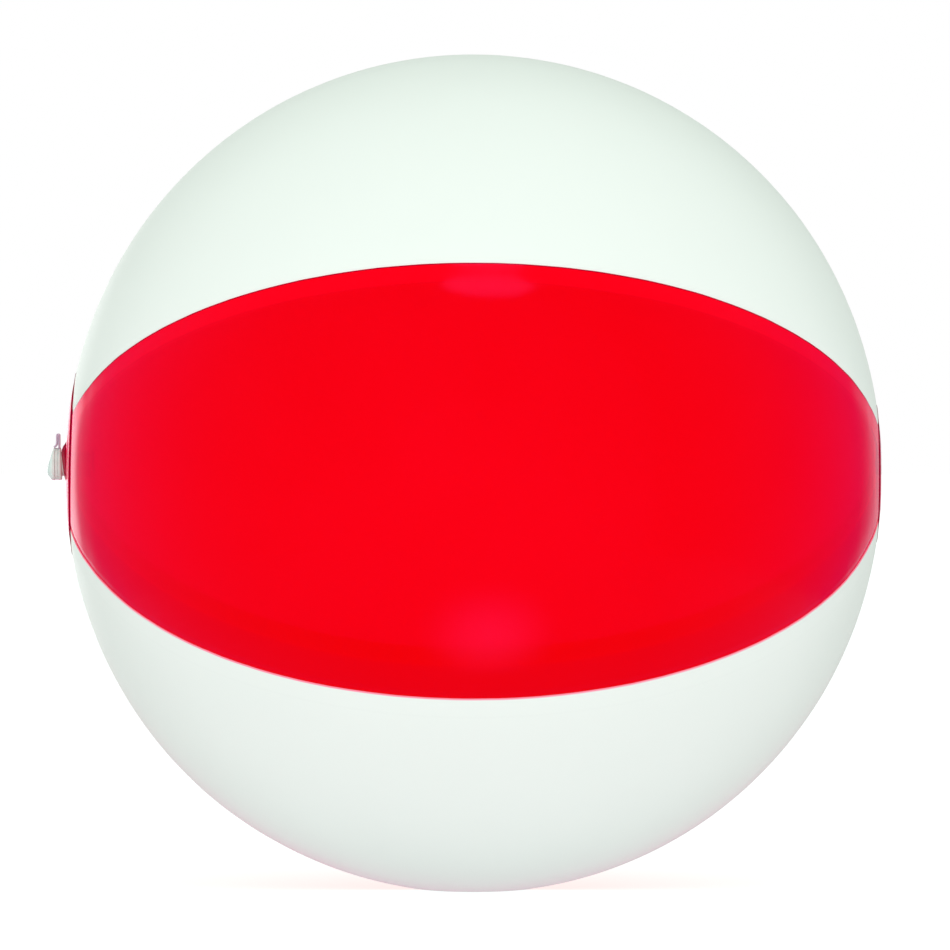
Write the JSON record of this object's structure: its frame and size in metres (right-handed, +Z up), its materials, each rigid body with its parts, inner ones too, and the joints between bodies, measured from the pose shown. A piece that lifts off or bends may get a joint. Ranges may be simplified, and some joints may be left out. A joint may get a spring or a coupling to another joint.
{
  "type": "beach ball",
  "caption": "Inflatable beach ball of see-through and white welded film panels, with round end discs and a push-in valve closed by a plug on a strap.",
  "frame": {"origin": "middle of the flat on which the soft ball rests, on the floor under the ball's centre", "axes": "+Z up; X along the pole axis, with the valve at -X; -Y out of the middle of the front red panel"},
  "size_m": [0.2789, 0.28, 0.279],
  "materials": {
    "red_film": "gloss",
    "white_film": "gloss",
    "clear_pvc": "gloss"
  },
  "bodies": {
    "ball": {"front_red_panel": "red_film", "upper_white_panel": "white_film", "upper_rear_red_panel": "red_film", "rear_white_panel": "white_film", "lower_rear_red_panel": "red_film", "lower_white_panel": "white_film", "valve_end_disc": "red_film", "plain_end_disc": "red_film", "valve_flange": "clear_pvc", "valve_collar": "red_film"},
    "stem": {"valve_stem": "clear_pvc", "plug_strap": "clear_pvc"},
    "plug": {"plug": "clear_pvc"},
    "flap": {"check_flap": "clear_pvc"}
  },
  "joints": [
    {"name": "valve_pull", "type": "slide", "parent": "ball", "child": "stem", "axis": [-1, 0, 0], "range_m": [0, 0.008], "deforming": ["valve_collar"]},
    {"name": "plug_pull", "type": "slide", "parent": "stem", "child": "plug", "axis": [-1, 0, 0], "range_m": [0, 0.008], "deforming": ["plug_strap"]},
    {"name": "flap_swing", "type": "hinge", "parent": "stem", "child": "flap", "pos_m": [-0.1267, 0, 0.14656], "axis": [0, -1, 0], "range_deg": [0, 60]}
  ]
}
